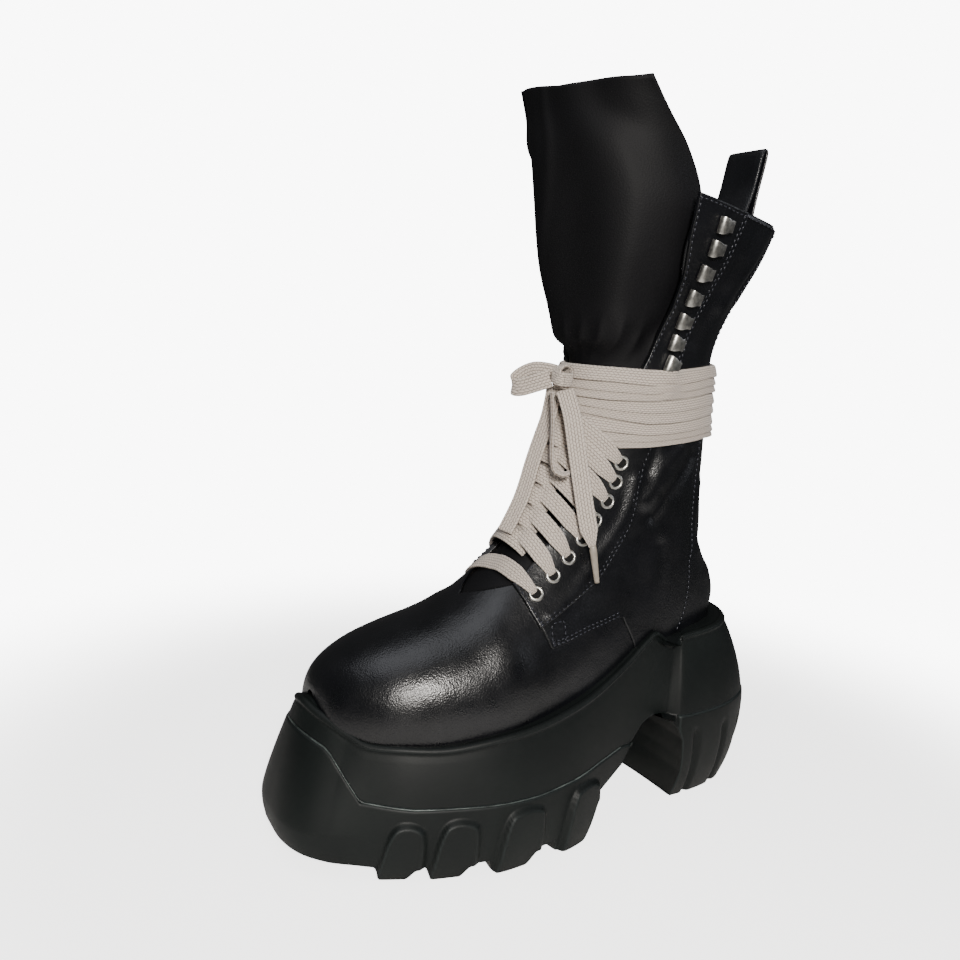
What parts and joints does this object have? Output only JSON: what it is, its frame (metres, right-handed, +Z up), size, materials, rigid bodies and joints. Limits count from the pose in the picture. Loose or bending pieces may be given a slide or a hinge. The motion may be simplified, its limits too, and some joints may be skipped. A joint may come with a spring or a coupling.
{
  "type": "platform boot",
  "caption": "Black leather lace-up platform boot with a chunky rubber sole, lace wrapped round the ankle, side zip and pull loop.",
  "frame": {"origin": "on the floor under the middle of the boot's outline", "axes": "+Z up along the shaft, toe toward -Y, outer (left) side toward +X"},
  "size_m": [0.1378, 0.3236, 0.4332],
  "materials": {
    "leather": "satin, finely grained",
    "rubber": "satin",
    "insole_leather": "matte",
    "nickel": "polished",
    "lace_cotton": "woven",
    "zip_tape": "woven"
  },
  "bodies": {
    "boot": {"midsole": "rubber", "outsole": "rubber", "heel": "rubber", "upper": "leather", "insole": "insole_leather", "tongue": "leather", "pull_loop": "leather", "lace_bar": "lace_cotton", "lace_crossings": "lace_cotton", "lace_wrap": "lace_cotton", "lace_knot": "lace_cotton", "lace_end": "lace_cotton", "lace_bow": "lace_cotton", "lace_long": "lace_cotton", "lace_loop": "lace_cotton", "aglet": "nickel", "zip": "zip_tape", "zip_slider": "nickel", "eyelet_outer_1": "nickel", "eyelet_inner_1": "nickel", "eyelet_outer_2": "nickel", "eyelet_inner_2": "nickel", "eyelet_outer_3": "nickel", "eyelet_inner_3": "nickel", "eyelet_outer_4": "nickel", "eyelet_inner_4": "nickel", "eyelet_outer_5": "nickel", "eyelet_inner_5": "nickel", "eyelet_outer_6": "nickel", "eyelet_inner_6": "nickel", "eyelet_outer_7": "nickel", "eyelet_inner_7": "nickel", "eyelet_outer_8": "nickel", "eyelet_inner_8": "nickel", "hook_outer_1": "nickel", "hook_inner_1": "nickel", "hook_outer_2": "nickel", "hook_inner_2": "nickel", "hook_outer_3": "nickel", "hook_inner_3": "nickel", "hook_outer_4": "nickel", "hook_inner_4": "nickel", "hook_outer_5": "nickel", "hook_inner_5": "nickel", "hook_outer_6": "nickel", "hook_inner_6": "nickel", "hook_outer_7": "nickel", "hook_inner_7": "nickel"},
    "pull_tab": {"zip_pull": "nickel"}
  },
  "joints": [
    {"name": "pull_tab_swing", "type": "hinge", "parent": "boot", "child": "pull_tab", "pos_m": [-0.0489, 0.07322, 0.33967], "axis": [0.0286, 0.9996, 0], "range_deg": [0, 165]}
  ]
}
